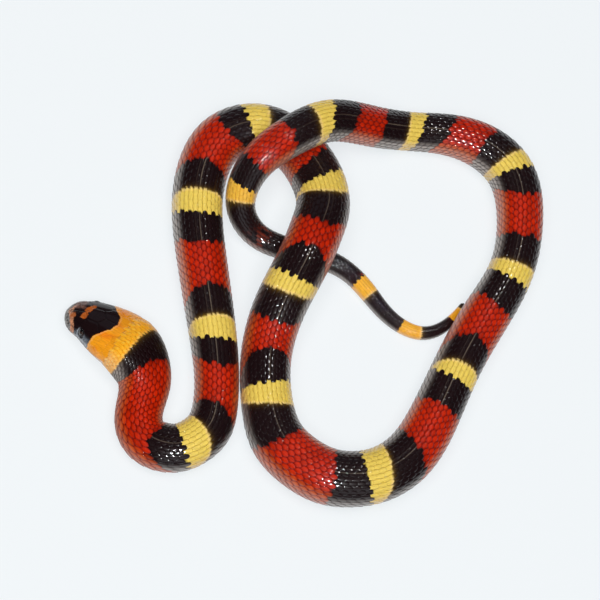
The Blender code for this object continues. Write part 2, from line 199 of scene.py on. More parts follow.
# Colours in linear light.
BLACK = (0.0088, 0.0028, 0.0034)
RED = (0.50, 0.017, 0.001)
RED_EDGE = (0.17, 0.003, 0.0005)
RED_TAN = (0.46, 0.085, 0.014)
YELLOW = (0.77, 0.565, 0.102)
YELLOW_GROOVE = (0.48, 0.29, 0.032)
PALE_GOLD = (0.90, 0.62, 0.26)
# Deeper gold for the yellow rings low on the sides: painted shade.
SHADED_FLANK_GOLD = (0.66, 0.33, 0.07)
DARK_GOLD = (0.13, 0.070, 0.008)
ORANGE = (0.86, 0.385, 0.014)
ORANGE_GROOVE = (0.70, 0.22, 0.007)
# Yellow fleck in the middle of each collar scale: painted highlight.
GLINT_YELLOW = (0.95, 0.58, 0.07)
MOTTLE = (0.16, 0.022, 0.010)
PALE = (0.62, 0.55, 0.50)
# Warm pale for the reds low on the sides: the pale belly edge with painted sheen over it.
PALE_RED = (0.70, 0.40, 0.30)
SHIELD_ORANGE = (0.84, 0.31, 0.010)
SNOUT_PEACH = (0.47, 0.205, 0.11)
SNOUT_ORANGE = (0.46, 0.100, 0.010)
SNOUT_PINK = (0.150, 0.072, 0.055)
SNOUT_GREY = (0.17, 0.155, 0.145)
CHEEK_GREY = (0.085, 0.096, 0.115)
DEEP_ORANGE = (0.80, 0.19, 0.006)
EYE_RIM = (0.42, 0.46, 0.52)
LIP_GREY = (0.34, 0.35, 0.37)
# Thin pale lines along the back of the black rings: painted highlight.
RIDGE_GLINT = (0.090, 0.070, 0.050)
IRIS = (0.030, 0.012, 0.007)
PUPIL = (0.002, 0.002, 0.002)
FLOOR_TONE = (0.880, 0.930, 0.965)

RANDOM_SEED = 7

# Camera, as the photograph was taken.
CAMERA_DISTANCE = 1.0
VIEW_DIRECTION = (0.157, 0.242, -0.957)
FRAME_WIDE = 0.228
SENSOR = 36.0


def curve_through(knots, values):
    """Natural cubic curve: between two knots the values are blended, with a cubic of each bend."""
    knots = np.asarray(knots, float)
    values = np.asarray(values, float).reshape(len(knots), -1)
    step = np.diff(knots)
    rise = np.diff(values, axis=0) / step[:, None]
    matrix = np.eye(len(knots))
    right = np.zeros_like(values)
    for i in range(1, len(knots) - 1):
        matrix[i, i - 1] = step[i - 1]
        matrix[i, i] = 2.0 * (step[i - 1] + step[i])
        matrix[i, i + 1] = step[i]
        right[i] = 6.0 * (rise[i] - rise[i - 1])
    bend = np.linalg.solve(matrix, right)

    def at(where):
        where = np.atleast_1d(np.asarray(where, float))
        i = np.clip(np.searchsorted(knots, where) - 1, 0, len(step) - 1)
        h = step[i][:, None]
        left = (knots[i + 1] - where)[:, None] / h
        onward = 1.0 - left
        cubic = (left ** 3 - left) * bend[i] + (onward ** 3 - onward) * bend[i + 1]
        return left * values[i] + onward * values[i + 1] + cubic * h * h / 6.0

    return at


def between(table, where, column=1):
    """Straight-line reading of one column of a short table."""
    return np.interp(where, [row[0] for row in table], [row[column] for row in table])


def smooth_step(low, high, value):
    """0 below low, 1 above high, and 3t^2 - 2t^3 between them."""
    t = np.clip((value - low) / (high - low), 0.0, 1.0)
    return t * t * (3.0 - 2.0 * t)


def trace_route():
    """Distance along the floor, and x, y and width, at 6000 points of a cubic through ROUTE."""
    rows = np.array(ROUTE)
    chord = np.r_[0.0, np.cumsum(np.hypot(*np.diff(rows[:, :2], axis=0).T))]
    line = curve_through(chord, rows)(np.linspace(0.0, chord[-1], 6000))
    line[:, 0] -= MIDDLE_X
    line[:, 1] -= MIDDLE_Y
    along = np.r_[0.0, np.cumsum(np.hypot(*np.diff(line[:, :2], axis=0).T))]
    return along, line


ALONG, LINE = trace_route()
LENGTH = ALONG[-1]


def belly_height(where):
    """Raised-cosine humps where the body bridges over another stretch."""
    height = np.zeros_like(where)
    for middle, top, before, after in BRIDGES:
        offset = where - middle
        share = np.where(offset < 0.0, -offset / before, offset / after)
        height += 0.5 * top * (1.0 + np.cos(math.pi * np.minimum(share, 1.0)))
    return height


def body_size(where):
    """Half width and height of the body."""
    width = np.interp(where, ALONG, LINE[:, 2])
    return 0.5 * width, width * between(HEIGHT_SHARE, where / LENGTH)


def loaf(turn, half_width, height, roundness):
    """Loaf section: y is a power of the sine, z a power of the cosine over a flat belly."""
    side = np.sin(turn)
    rise = -np.cos(turn)
    y = half_width * np.sign(side) * np.abs(side) ** roundness
    back = WIDEST + (1.0 - WIDEST) * np.abs(rise) ** roundness
    belly = WIDEST - BELLY_DEPTH * np.abs(rise) ** BELLY_ROUND
    return y, height * np.where(rise > 0.0, back, np.maximum(belly, 0.0))


def section_sizes(where):
    """Half width, top, bottom and roundness of the straight animal, rounded off at both ends."""
    half_width, top = body_size(np.maximum(where, HEAD_LENGTH))
    end_width, end_height = body_size(np.array([HEAD_LENGTH]))
    plan = HEAD_PLAN + ((HEAD_LENGTH, end_width[0], end_height[0]),)
    head = curve_through([row[0] for row in plan], [row[1:] for row in plan])(np.clip(where, 0, HEAD_LENGTH))
    on_head = where < HEAD_LENGTH
    half_width = np.where(on_head, head[:, 0], half_width)
    top = np.where(on_head, head[:, 1], top)
    blunt = 1.0 - np.minimum(where, SNOUT_ROUND) / SNOUT_ROUND
    close = np.sqrt(np.maximum(1.0 - blunt ** 2, 0.0))
    top = SNOUT_HEIGHT + (top - SNOUT_HEIGHT) * close
    bottom = SNOUT_HEIGHT * (1.0 - close)
    last = np.clip((where - LENGTH + TIP_ROUND) / TIP_ROUND, 0.0, 1.0)
    tip = np.sqrt(np.maximum(1.0 - last ** 2, 0.0))
    middle = 0.5 * (top + bottom)
    roundness = np.interp(where, (20.0, HEAD_LENGTH), (HEAD_ROUND, SIDE_ROUND))
    top, bottom = middle + (top - middle) * tip, middle + (bottom - middle) * tip
    return half_width * close * tip, top, bottom, roundness


def make_stations():
    """Distances of the chart's rows: close over the head and both tips, wider along the body."""
    snout = SNOUT_ROUND * (1.0 - np.cos(np.linspace(0.02, 0.5 * math.pi, 34)[:-1]))
    tip = LENGTH - TIP_ROUND + TIP_ROUND * np.sin(np.linspace(0.0, 1.54, 10))
    neck, body = np.arange(SNOUT_ROUND, 32.0, 0.15), np.arange(32.0, LENGTH - TIP_ROUND - 0.3, 0.75)
    return np.r_[snout, neck, body, tip]


STATIONS = make_stations()
SHARES = np.linspace(-0.5, 0.5, SHARES_ROUND + 1)


def make_chart():
    """Straight places and outward normals at every station and share of the way round.

    A share is an even step of the section's own outline, 0 at the middle of the back,
    negative to the animal's left. The normal is the cross product of the two slopes.
    """
    half_width, top, bottom, roundness = section_sizes(STATIONS)
    turn = np.linspace(0.0, 2.0 * math.pi, 481)
    places = np.zeros((len(STATIONS), len(SHARES), 3))
    outline = np.zeros(len(STATIONS))
    for i, station in enumerate(STATIONS):
        y, z = loaf(turn, half_width[i], top[i] - bottom[i], roundness[i])
        z = z + bottom[i]
        run = np.r_[0.0, np.cumsum(np.hypot(np.diff(y), np.diff(z)))]
        outline[i] = run[-1]
        share = 0.5 - run / run[-1]
        places[i, :, 0] = station
        places[i, :, 1] = np.interp(SHARES, share[::-1], y[::-1])
        places[i, :, 2] = np.interp(SHARES, share[::-1], z[::-1])
    down = np.gradient(places, STATIONS, axis=0)
    closed = np.concatenate([places[:, -2:-1], places, places[:, 1:2]], axis=1)
    round_ = 0.5 * (closed[:, 2:] - closed[:, :-2])
    normals = np.cross(down, round_)
    normals *= np.sign(normals[:, len(SHARES) // 2, 2])[:, None, None]
    normals /= np.linalg.norm(normals, axis=2)[:, :, None] + 1e-12
    return places, normals, outline


PLACES, NORMALS, OUTLINE = make_chart()


def outline_at(where):
    """Length of the section's outline at a distance."""
    return np.interp(where, STATIONS, OUTLINE)


def on_chart(table, where, share):
    """Read a table between four of its points, weighted by nearness."""
    i = np.clip(np.searchsorted(STATIONS, where) - 1, 0, len(STATIONS) - 2)
    f = np.clip((where - STATIONS[i]) / (STATIONS[i + 1] - STATIONS[i]), 0.0, 1.0)[..., None]
    around = (np.mod(share + 0.5, 1.0)) * SHARES_ROUND
    j = np.clip(around.astype(int), 0, SHARES_ROUND - 1)
    g = (around - j)[..., None]
    near = table[i, j] * (1 - g) + table[i, j + 1] * g
    far = table[i + 1, j] * (1 - g) + table[i + 1, j + 1] * g
    return near * (1 - f) + far * f


def make_bed():
    """Everything that carries the straight animal to the floor, at 3000 distances."""
    where = np.linspace(0.0, LENGTH, 3001)

    def spot(distance):
        x = np.interp(distance, ALONG, LINE[:, 0])
        y = np.interp(distance, ALONG, LINE[:, 1])
        return np.stack([x, y, belly_height(distance)], axis=1)

    middle = np.clip(where, 0.5, LENGTH - 0.5)
    ahead = spot(middle + 0.5) - spot(middle - 0.5)
    ahead /= np.linalg.norm(ahead, axis=1)[:, None]
    across = np.stack([-ahead[:, 1], ahead[:, 0], np.zeros(len(where))], axis=1)
    across /= np.linalg.norm(across, axis=1)[:, None]
    up = np.cross(ahead, across)
    behind = np.maximum(where, HEAD_LENGTH)
    half_width, height = body_size(behind)
    fade = np.clip((behind - HEAD_LENGTH) / (ROLL_END - HEAD_LENGTH), 0.0, 1.0)
    roll = HEAD_ROLL * 0.5 * (1.0 + np.cos(math.pi * fade))
    turn = np.linspace(0.0, 2.0 * math.pi, 49)[None, :]
    y, z = loaf(turn, half_width[:, None], height[:, None], SIDE_ROUND)
    pivot = WIDEST * height
    rolled = (z - pivot[:, None]) * np.cos(roll)[:, None] - y * np.sin(roll)[:, None]
    place = spot(where)
    rest = -rolled.min(axis=1)
    table = np.column_stack([place, across, up, ahead, np.cos(roll), np.sin(roll), pivot, rest])
    middle_line = place + up * (0.5 * height)[:, None]
    run = np.r_[0.0, np.cumsum(np.linalg.norm(np.diff(middle_line, axis=0), axis=1))]
    return where, table, run


BED_AT, BED, BED_RUN = make_bed()


def lay(points):
    """Carry straight points (distance, across, height) in mm to the pose, in metres.

    The section is rolled about its pivot, set on the floor, and placed along the route.
    """
    flat = points.reshape(-1, 3)
    where = np.clip(flat[:, 0], 0.0, LENGTH)
    bed = np.stack([np.interp(where, BED_AT, BED[:, c]) for c in range(BED.shape[1])], axis=1)
    cosine, sine, pivot, rest = bed[:, 12], bed[:, 13], bed[:, 14], bed[:, 15]
    height = flat[:, 2] - pivot
    across = flat[:, 1] * cosine + height * sine
    height = height * cosine - flat[:, 1] * sine + rest
    beyond = (flat[:, 0] - where)[:, None]
    laid = bed[:, 0:3] + beyond * bed[:, 9:12]
    laid = laid + across[:, None] * bed[:, 3:6] + height[:, None] * bed[:, 6:9]
    laid[:, 2] = np.maximum(laid[:, 2], 0.02)
    return (laid * MM).reshape(points.shape)


def surface(where, share, lift):
    """Straight place at a distance and share, lifted along the outward normal."""
    return on_chart(PLACES, where, share) + on_chart(NORMALS, where, share) * lift[..., None]


def add_object(name, data):
    """An object of the scene that holds the data."""
    thing = bpy.data.objects.new(name, data)
    bpy.context.scene.collection.objects.link(thing)
    return thing


def mesh_piece(name, points, corners, starts, flat_faces=None):
    """A mesh object from arrays: places, the corners of all faces in a row, and where each starts."""
    mesh = bpy.data.meshes.new(name)
    mesh.vertices.add(len(points))
    mesh.vertices.foreach_set("co", points.astype(np.float32).ravel())
    mesh.loops.add(len(corners))
    mesh.loops.foreach_set("vertex_index", corners.astype(np.int32))
    mesh.polygons.add(len(starts))
    mesh.polygons.foreach_set("loop_start", starts.astype(np.int32))
    mesh.update(calc_edges=True)
    smooth = np.ones(len(starts), bool)
    if flat_faces is not None:
        smooth[flat_faces] = False
    mesh.polygons.foreach_set("use_smooth", smooth)
    return add_object(name, mesh)


def add_map(thing, name, values):
    """A UV map from one value at each corner of the faces."""
    layer = thing.data.uv_layers.new(name=name)
    layer.uv.foreach_set("vector", values.astype(np.float32).ravel())


def add_tint(thing, colours):
    """A colour at each vertex, in linear light."""
    layer = thing.data.color_attributes.new("tint", "FLOAT_COLOR", "POINT")
    four = np.column_stack([colours, np.ones(len(colours))])
    layer.data.foreach_set("color", four.astype(np.float32).ravel())


def dress(thing, look, colours, bake, lie=None):
    """A piece's material, the colour of each vertex, and its maps, one value at each corner."""
    add_map(thing, "OFBake", bake)
    if lie is not None:
        add_map(thing, "lie", lie)
    add_tint(thing, colours.reshape(-1, 3))
    thing.data.materials.append(look)


def mixed(first, second, share):
    """Colour between two, share 0 to 1."""
    share = np.asarray(share)[..., None]
    return np.asarray(first) * (1.0 - share) + np.asarray(second) * share


def markings(where, middle, share, side, cell, chance):
    """Colours of points of the scales.

    where and middle are the distances of the point and of its scale's middle. side runs from 0
    on a scale's ridge to 1 at its side corners, cell from 0 in the middle of its bare part to 1
    at the rim. A ring's front edge and the black-red edges mostly follow whole scales, a light
    ring's rear edge is a line across them. The collar's rear edges lean back by NAPE_LEAN. Low on
    the sides all colours turn paler, least along the edges of the scales: the pale edge of the belly
    with painted sheen over it, more on the right side.
    """
    lean = between(NAPE_LEAN, share) * smooth_step(NAPE_LEAN_END, NAPE_LEAN_END - 20.0, where)
    at = where - lean
    drawn = middle + EDGE_SHARE * (where - middle) - lean
    centre = drawn + (chance[..., 0] - 0.5) * 1.0
    aside = np.clip(share / SIDE_MARK, -1.7, 1.7)
    # Painted shade: the yellow rings turn deeper gold low on the sides, more on the left side.
    flank_shade = smooth_step(0.12, 0.25, -share) + 0.6 * smooth_step(0.12, 0.22, share)
    shade = (0.86 + 0.28 * chance[..., 1])[..., None]
    colour = mixed(RED, RED_TAN, 0.8 * smooth_step(0.10, 0.16, np.abs(share)))
    colour = mixed(colour, RED_EDGE, smooth_step(0.73, 1.05, cell)) * shade
    for number, ring in enumerate(RINGS):
        dark_from, light_from, light_to, dark_to, orange, lean_in, lean_out, bend_in, bend_out = ring
        if number == 0:
            light_from = between(CAP_EDGE, np.abs(share))
        dark_in = dark_from + lean_in * aside + bend_in * aside ** 2
        dark_out = dark_to + lean_out * aside + bend_out * aside ** 2
        light_in = light_from + lean_in * aside
        black = (centre > dark_in) & (centre < dark_out)
        off_edge = np.minimum(np.abs(centre - dark_in), np.abs(centre - dark_out))
        sooty = np.exp(-off_edge / 1.1) * chance[..., 2]
        colour = mixed(colour, np.asarray(RED_EDGE) * 0.5, 0.75 * sooty)
        colour = np.where(black[..., None], np.asarray(BLACK) * shade, colour)
        if np.all(light_to <= light_from):
            continue
        light = mixed(mixed(YELLOW, SHADED_FLANK_GOLD, 0.55 * flank_shade), ORANGE, orange)
        groove = mixed(YELLOW_GROOVE, ORANGE_GROOVE if number else SHIELD_ORANGE, orange)
        tone = mixed(light, groove, 0.85 * smooth_step(0.45, 1.0, side)) * (0.93 + 0.12 * shade)
        if number == 0:
            # Painted highlight: a yellow fleck in the middle of each scale of the collar.
            collar_glint = smooth_step(0.75, 0.15, cell) * smooth_step(19.0, 24.0, where) * chance[..., 2]
            tone = mixed(tone, GLINT_YELLOW, collar_glint)
        rear = light_to + lean_out * aside + 0.45 * bend_out * aside ** 2 + 0.35 * (0.5 - side)
        rim = 0.2 if number == 0 else 0.6
        tone = mixed(tone, PALE_GOLD, rim * smooth_step(rear - 0.9, rear - 0.2, at))
        started = drawn > light_in
        colour = np.where((started & (at < rear))[..., None], tone, colour)
        past = started & (at >= rear) & (centre < dark_out)
        fade = np.exp(-np.maximum(at - rear, 0.0) / 0.6)
        colour = np.where(past[..., None], mixed(BLACK, DARK_GOLD, fade), colour)
    patch = np.exp(-((middle - MOTTLE_AT) / MOTTLE_REACH) ** 2) * (chance[..., 3] > 0.25) * (1.0 - side)
    colour = mixed(colour, MOTTLE, patch)
    # Pale belly edge with painted sheen: low on the sides the colours turn paler, earlier and more on the
    # right side, least along the edges of the scales.
    bright = smooth_step(0.03, 0.30, colour[..., 0])
    onset = np.where(share > 0.0, 0.118, 0.140)
    low = smooth_step(onset, onset + 0.085, np.abs(share))
    low = low * (np.where(share > 0.0, 0.72, 0.60) - 0.30 * bright)
    low = low * (1.0 - 0.8 * (1.0 - bright) * smooth_step(0.40, 0.90, side))
    low = low * (1.0 - 0.5 * smooth_step(0.55, 1.0, cell))
    warm = bright * smooth_step(0.20, 0.08, colour[..., 1])
    return mixed(colour, mixed(PALE, PALE_RED, warm), low)


def uneven(x, y, size, table):
    """Smooth random heights: a square lattice of the given size with the table's values, blended."""
    i, j = np.floor(x / size).astype(int), np.floor(y / size).astype(int)
    f, g = x / size - i, y / size - j
    f, g = f * f * (3.0 - 2.0 * f), g * g * (3.0 - 2.0 * g)
    rows, columns = table.shape
    near = table[i % rows, j % columns] * (1 - g) + table[i % rows, (j + 1) % columns] * g
    far = table[(i + 1) % rows, j % columns] * (1 - g) + table[(i + 1) % rows, (j + 1) % columns] * g
    return near * (1 - f) + far * f


def head_colours(where, share, height, shade, seam, table):
    """Colours of the head's shields: a black cap, orange behind it, and the marks of the snout.

    Each mark is a shape in distance from the snout and share or arc from the middle, and its
    edge is made uneven by smooth random heights. A narrow waist divides the bar across the snout.
    """
    side = np.abs(share)
    arc = share * outline_at(where)
    coarse, fine = uneven(where, arc, 1.6, table), uneven(where + 50.0, arc, 0.45, table)
    rough = 0.6 * coarse + 0.4 * fine - 0.5
    mottle = (0.35 + 1.3 * fine)[..., None]
    cap = between(CAP_EDGE, side) + 0.6 * np.exp(-((share - 0.07) / 0.03) ** 2) + 0.9 * rough
    collar = smooth_step(cap - 0.2, cap + 0.1, where)
    deep = smooth_step(0.30, 0.90, uneven(where + 20.0, arc, 3.2, table))
    orange = mixed(SHIELD_ORANGE, DEEP_ORANGE, 0.8 * deep * smooth_step(cap + 6.0, cap + 2.5, where))
    orange = mixed(orange, PALE_GOLD, 0.30 * np.exp(-((where - cap - 0.35) / 0.25) ** 2))
    colour = mixed(BLACK, orange * (0.94 + 0.12 * shade)[..., None], collar)
    cheek = smooth_step(0.185, 0.215, side) * smooth_step(5.2, 6.6, where) * (1.0 - collar)
    colour = mixed(colour, np.asarray(CHEEK_GREY) * mottle, 0.85 * cheek)
    lip = smooth_step(0.235, 0.26, side) * (1.0 - collar)
    colour = mixed(colour, np.asarray(LIP_GREY) * mottle, 0.65 * lip)
    along = between(SNOUT_BAND, side) - where + 0.9 * rough
    tip = smooth_step(-0.1, 0.8, along) * smooth_step(0.30, 0.26, side)
    colour = mixed(colour, np.asarray(SNOUT_GREY) * mottle, tip)
    pink = smooth_step(0.02, 0.05, share) * smooth_step(0.21, 0.17, share)
    pink = pink * smooth_step(1.4, 2.4, where + 1.5 * rough) * smooth_step(6.8, 5.4, where + 1.8 * rough)
    colour = mixed(colour, np.asarray(SNOUT_PINK) * mottle, pink)
    band = smooth_step(1.1, 0.5, np.abs(along)) * smooth_step(0.29, 0.25, side)
    band = band * smooth_step(0.10, 0.04, share) * smooth_step(0.12, 0.32, fine)
    colour = mixed(colour, np.asarray(SNOUT_PEACH) * (0.55 + 0.9 * fine)[..., None], band)
    beyond = np.maximum(np.abs(arc - 0.4) - 2.8, 0.0)
    off_bar = np.hypot(where - 7.5 - 0.28 * arc, beyond) / 0.9 + 1.5 * rough
    off_bar += 0.40 * np.exp(-((arc + 0.2) / 0.55) ** 2)
    mark = np.asarray(SNOUT_ORANGE) * (0.7 + 0.6 * fine)[..., None]
    mark = mixed(mark, SNOUT_PEACH, 0.35 * smooth_step(0.5, 0.9, coarse))
    colour = mixed(colour, mark, smooth_step(1.25, 0.80, off_bar))
    off_spot = np.hypot((where - 3.1) / 1.15, (arc + 2.2) / 1.6) + 1.4 * rough
    colour = mixed(colour, mark * 0.85, smooth_step(1.25, 0.75, off_spot))
    throat = smooth_step(0.0, -0.8, height - mouth_height(where))
    colour = mixed(colour, np.asarray(PALE) * (0.75 + 0.4 * shade)[..., None], throat * 0.85)
    off_eye = np.hypot(where - EYE_FROM_SNOUT, height - EYE_HEIGHT)
    ahead = smooth_step(1.2, -0.6, where - EYE_FROM_SNOUT)
    rim = np.exp(-((off_eye - 2.05) / 0.24) ** 2) * (0.35 + 0.65 * ahead)
    rim = rim * smooth_step(EYE_HEIGHT + 1.6, EYE_HEIGHT + 0.2, height)
    colour = mixed(colour, EYE_RIM, 0.8 * rim * smooth_step(0.30, 0.27, side))
    colour = mixed(colour, BLACK, 0.75 * smooth_step(1.75, 1.55, off_eye) * smooth_step(0.30, 0.27, side))
    return mixed(colour, colour * 0.35, (0.6 - 0.42 * collar) * seam)


def mouth_height(where):
    """Height of the mouth line: a cubic through MOUTH_LINE."""
    rise = curve_through([row[0] for row in MOUTH_LINE], [row[1] for row in MOUTH_LINE])
    return rise(np.minimum(where, MOUTH_CORNER + 2.0).ravel())[:, 0].reshape(where.shape)


def head_shields(where, share, rng):
    """Distance in mm of each point from the nearest seam between shields, and its shield's shade.

    A point belongs to the shield of its nearest listed point. Its distance from the seam with
    another shield is half the difference of the squared distances over that between the two.
    """
    seeds, names = [], []
    rows = tuple((f"{row}_{n + 1}", (spot,)) for row, spots in SHIELD_ROWS for n, spot in enumerate(spots))
    for name, spots in SHIELDS + rows:
        for spot in spots:
            for sign in (-1.0, 1.0):
                seeds.append((spot[0], sign * spot[1]))
                names.append(name if name.startswith("middle") else f"{name}_{sign:+.0f}")
    seeds = np.array(seeds)
    kinds = np.unique(names, return_inverse=True)[1]
    spots = on_chart(PLACES, seeds[:, 0], seeds[:, 1])
    here = on_chart(PLACES, where, share).reshape(-1, 3)
    squared = ((here[:, None, :] - spots[None]) ** 2).sum(axis=2)
    own = squared.argmin(axis=1)
    apart = np.linalg.norm(spots[:, None] - spots[None], axis=2) + 1e-6
    seam = (squared - squared[np.arange(len(own)), own][:, None]) / (2.0 * apart[own])
    seam[kinds[own][:, None] == kinds[None, :]] = 99.0
    shade = rng.random(kinds.max() + 1)[kinds[own]]
    return seam.min(axis=1).reshape(where.shape), shade.reshape(where.shape)


def head_relief(where, height, seam):
    """Lift of the head's skin: grooves at the seams, the mouth, the rims of the eyes, the nostrils.

    A groove is a negative bell of the distance from its line. An eye's pit is flat to 1.35 mm
    from its axis and eases out to a low rim at 1.85 mm.
    """
    lift = -0.09 * np.exp(-(seam / 0.15) ** 2) - 0.03 * np.exp(-(seam / 0.5) ** 2)
    over_mouth = height - mouth_height(where)
    in_mouth = smooth_step(MOUTH_CORNER + 0.4, MOUTH_CORNER - 1.0, where)
    lift -= 0.40 * np.exp(-(over_mouth / 0.17) ** 2) * in_mouth
    off_eye = np.hypot(where - EYE_FROM_SNOUT, height - EYE_HEIGHT)
    lift = np.where(off_eye < 2.6, lift * smooth_step(1.2, 2.4, off_eye), lift)
    lift += -0.60 * smooth_step(1.70, 1.35, off_eye) + 0.11 * np.exp(-((off_eye - 1.85) / 0.22) ** 2)
    off_nostril = np.hypot(where - NOSTRIL_FROM_SNOUT, height - NOSTRIL_HEIGHT)
    lift -= 0.50 * smooth_step(NOSTRIL_RADIUS + 0.1, NOSTRIL_RADIUS - 0.35, off_nostril)
    return lift


def grid_corners(rows, columns):
    """Corners of a rows by columns sheet of quads."""
    i, j = np.meshgrid(np.arange(rows - 1), np.arange(columns - 1), indexing="ij")
    a = (i * columns + j).ravel()
    return np.column_stack([a, a + columns, a + columns + 1, a + 1])


def closed_grid(rows, columns, first):
    """Corners of a tube of quads, and the share of the way round of each corner."""
    i, j = np.meshgrid(np.arange(rows - 1), np.arange(columns), indexing="ij")
    i, j = i.ravel(), j.ravel()
    after = (j + 1) % columns
    near, far = first + i * columns, first + (i + 1) * columns
    turn = np.column_stack([j, j, j + 1, j + 1]) / columns
    return np.column_stack([near + j, far + j, far + after, near + after]), turn


def closed_plate(a, b, lift, inset, thick):
    """One closed plate: a top sheet, a rim round it and one face underneath.

    Returns along, across and lift of all its points, the top's being given, and its faces.
    """
    rows, columns = a.shape
    top = grid_corners(rows, columns)
    first = np.arange(columns)
    right = np.arange(1, rows) * columns + columns - 1
    last = (rows - 1) * columns + np.arange(columns - 2, -1, -1)
    left = np.arange(rows - 2, 0, -1) * columns
    ring = np.r_[first, right, last, left]
    under = rows * columns + np.arange(len(ring))
    after = np.roll(np.arange(len(ring)), -1)
    rim = np.column_stack([ring, ring[after], under[after], under])
    a, b, lift = a.ravel(), b.ravel(), lift.ravel()
    points = np.r_[a, a[ring]], np.r_[b, b[ring] * inset], np.r_[lift, lift[ring] - thick]
    return *points, (top, rim, under)


def plate_faces(faces, per_plate, count):
    """Corners, starts and flat faces of many copies of one plate, one after the other."""
    top, rim, under = faces
    base = (np.arange(count) * per_plate)[:, None, None]
    quads = np.vstack([top, rim])
    quad_corners = (quads[None] + base).reshape(-1)
    under_corners = (under[None, :] + base[:, 0]).reshape(-1)
    starts = np.r_[np.arange(count * len(quads)) * 4, len(quad_corners) + np.arange(count) * len(under)]
    kind = np.r_[np.zeros(len(top), bool), np.ones(len(rim), bool)]
    return np.r_[quad_corners, under_corners], starts, np.r_[np.tile(kind, count), np.ones(count, bool)]


def bake_patches(middle, share, a, b):
    """UV of each plate's points: a patch 0.003 across at its root on the unwrapped skin."""
    root = np.stack([middle / LENGTH, share + 0.5], axis=1) * 0.98 + 0.01
    patch = np.column_stack([a / 1.5, b / 2.0]) * 0.003
    return (root[:, None, :] + patch[None]).reshape(-1, 2)


def scale_rows():
    """Row count at each distance: rows are evenly spaced by the local row length."""
    length = between(SCALE_SIZES, BED_AT, 1)
    return np.r_[0.0, np.cumsum(np.diff(BED_RUN) / (0.5 * (length[1:] + length[:-1])))]


ROW_COUNT = scale_rows()


def row_distance(count):
    """Distance from the snout at a row count."""
    return np.interp(count, ROW_COUNT, BED_AT)


def row_width_share(where):
    """Width of a row of scales as a share of the section's outline."""
    return between(SCALE_SIZES, where, 2) / outline_at(where)


def place_scales(rng):
    """Row count, row across, middle, share and chances of every scale, from the head to the tail.

    The scales stand in slanting rows: each row across is half a step behind its neighbour.
    """
    count_from = np.interp(FIRST_SCALE, BED_AT, ROW_COUNT)
    count_to = ROW_COUNT[-1] - 0.3
    k = np.arange(math.floor(count_from), math.ceil(count_to))
    kk, rr = np.meshgrid(k, np.arange(-ROWS_ASIDE, ROWS_ASIDE + 1), indexing="ij")
    count = (kk + 0.5 * (rr % 2)).ravel()
    row = rr.ravel().astype(float)
    middle = row_distance(count)
    share = row * row_width_share(middle)
    keep = (np.abs(share) < BELLY_SHARE + 0.008) & (count < count_to)
    keep &= middle > between(SCALES_FROM, np.abs(share))
    count, row, middle, share = count[keep], row[keep], middle[keep], share[keep]
    order = np.argsort(count, kind="stable")
    return count[order], row[order], middle[order], share[order], rng.random((len(count), 4))


def build_scales(look, rng):
    """The scales of the back and sides, joined in pieces of about 1500.

    A scale is a rounded leaf, widest at its middle. Its rear half is an ellipse lying over
    the scales behind, its front narrows and is sunk under those ahead, and its back is arched
    along and across by parabolas.
    """
    along_steps = np.array([-0.90, -0.50, -0.20, 0.08, 0.30, 0.46, 0.56])
    across_steps = np.array([-1.0, -0.64, 0.0, 0.64, 1.0])
    off = np.abs(along_steps - 0.02)
    rear = SCALE_HALF * np.sqrt(1.0 - np.minimum(off / 0.55, 1.0) ** 2)
    half = np.where(along_steps > 0.02, rear, SCALE_HALF * (1.0 - 0.42 * off ** 1.5))
    a = np.repeat(along_steps[:, None], len(across_steps), axis=1)
    b = half[:, None] * across_steps[None, :]
    droop = 0.10 * np.maximum(np.abs(across_steps)[None, :] - 0.6, 0.0)
    lift = -SCALE_TILT * (0.5 - a) - SCALE_DOME * b ** 2 - SCALE_ARCH * (a / 0.5) ** 2 - droop
    a_all, b_all, lift_all, faces = closed_plate(a, b, lift, 0.96, SCALE_THICK)
    side_all = np.abs(b_all) / SCALE_HALF
    cell_all = np.clip((side_all ** 1.4 + np.abs((a_all - 0.06) / 0.54) ** 1.4) ** (1 / 1.4), 0.0, 1.1)

    count, row, middle, share, chance = place_scales(rng)
    per_plate = len(a_all)
    cuts = np.linspace(0, len(count), math.ceil(len(count) / SCALES_PER_PIECE) + 1).astype(int)
    pieces = []
    for g, (start, end) in enumerate(zip(cuts[:-1], cuts[1:])):
        n = end - start
        flat = np.ones((n, per_plate))
        where = row_distance(count[start:end, None] + a_all[None, :])
        at_share = (row[start:end, None] + b_all[None, :]) * row_width_share(where)
        size = between(SCALE_SIZES, where, 1) / FULL_ROW
        tilt = 1.0 + 0.35 * (chance[start:end, 3, None] - 0.5)
        flatter = 0.55 + 0.45 * smooth_step(26.0, 40.0, where)
        laid = lay(surface(where, at_share, SCALE_LIFT + lift_all[None, :] * tilt * size * flatter))
        colours = markings(
            where, middle[start:end, None] * flat, at_share, side_all * flat, cell_all * flat,
            chance[start:end, None, :] * flat[:, :, None],
        )
        corners, *rest = plate_faces(faces, per_plate, n)
        thing = mesh_piece(f"scales_{g + 1}", laid.reshape(-1, 3), corners, *rest)
        bake = bake_patches(middle[start:end], share[start:end], a_all, b_all)
        lie = np.stack([where * MM, at_share * outline_at(where) * MM], axis=-1)
        dress(thing, look, colours, bake[corners], lie.reshape(-1, 2)[corners])
        pieces.append(thing)
    return pieces


